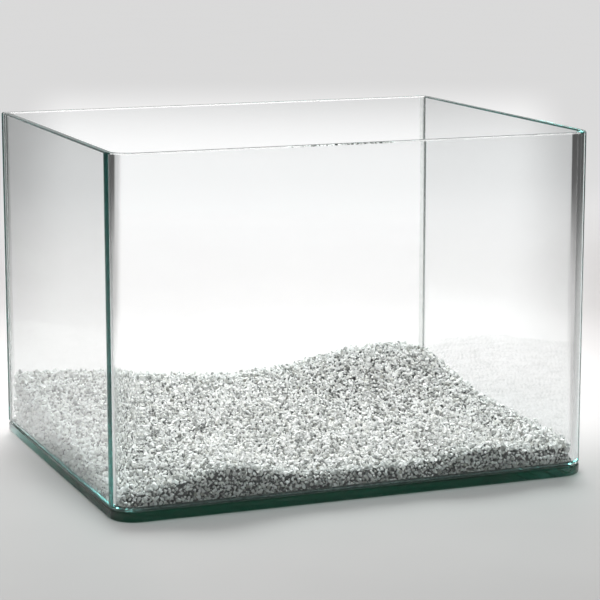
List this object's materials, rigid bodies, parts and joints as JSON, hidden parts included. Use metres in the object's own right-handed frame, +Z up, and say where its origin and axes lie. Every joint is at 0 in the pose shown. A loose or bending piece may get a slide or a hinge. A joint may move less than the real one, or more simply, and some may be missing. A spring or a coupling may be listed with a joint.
{
  "type": "glass aquarium tank",
  "caption": "Open-top glass aquarium tank with bent front corners, clear silicone joints, a thick base pane and a sloping bed of light grey gravel.",
  "frame": {"origin": "centre of the footprint, on the underside of the base pane", "axes": "+X to the right along the front, +Y from the front to the rear, +Z up; the bent front faces -Y"},
  "size_m": [0.4, 0.32, 0.28],
  "materials": {
    "float_glass": "clear, polished, green at the edges",
    "silicone": "translucent, satin",
    "gravel": "matt crushed stone"
  },
  "bodies": {
    "root": {"base_pane": "float_glass", "bent_front_and_side_pane": "float_glass", "rear_pane": "float_glass", "front_base_bead": "silicone", "rear_base_bead": "silicone", "left_base_bead": "silicone", "right_base_bead": "silicone", "rear_left_corner_bead": "silicone", "rear_right_corner_bead": "silicone", "gravel_bed": "gravel"}
  },
  "joints": []
}
